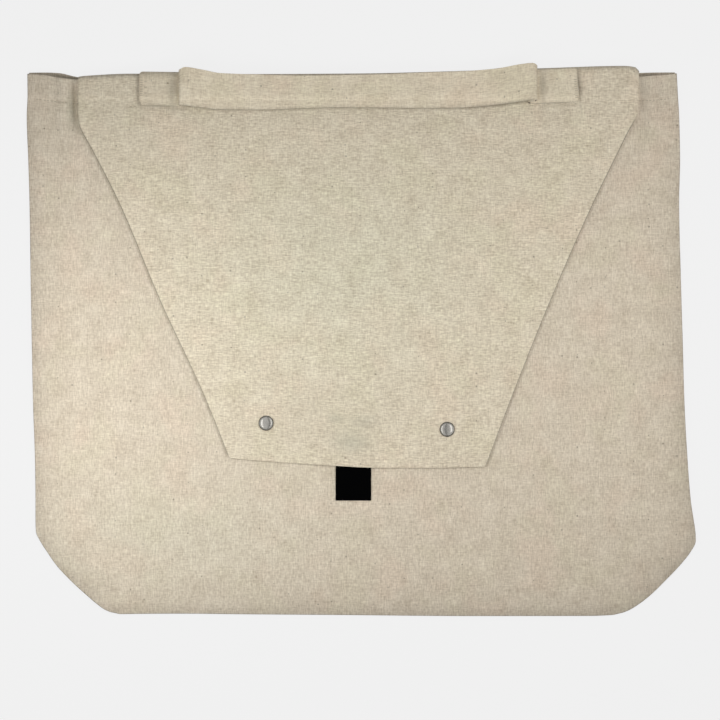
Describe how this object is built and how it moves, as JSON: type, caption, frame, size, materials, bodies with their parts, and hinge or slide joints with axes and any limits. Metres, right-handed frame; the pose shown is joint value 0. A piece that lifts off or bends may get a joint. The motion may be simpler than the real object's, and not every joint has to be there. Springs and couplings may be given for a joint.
{
  "type": "cotton packaging bag",
  "caption": "Flat cotton canvas bag lying on its back, closed by a tapered flap with press snaps, with a carrying strap sewn over the mouth and a short woven tab.",
  "frame": {"origin": "middle of the bag's box, on the surface that its back panel lies on", "axes": "+X across the bag to the picture's right, +Y up the bag from its bottom edge to its mouth, +Z from the back panel to the flap"},
  "size_m": [0.5584, 0.461, 0.0212],
  "materials": {
    "canvas": "unbleached plain-weave cotton canvas, matt, with slubs and dark seed specks",
    "flap_canvas": "the same unbleached canvas, its slubs lying across the flap",
    "strap_canvas": "the same canvas folded to a double strap, its slubs lying along it",
    "tape": "black woven tape, matt",
    "nickel": "satin nickel plate, lightly domed"
  },
  "bodies": {
    "root": {"back_panel": "canvas", "front_panel": "canvas", "flap": "flap_canvas", "handle": "strap_canvas", "tab": "tape", "snap_stud_left": "nickel", "snap_cap_left": "nickel", "snap_stud_right": "nickel", "snap_cap_right": "nickel"}
  },
  "joints": []
}
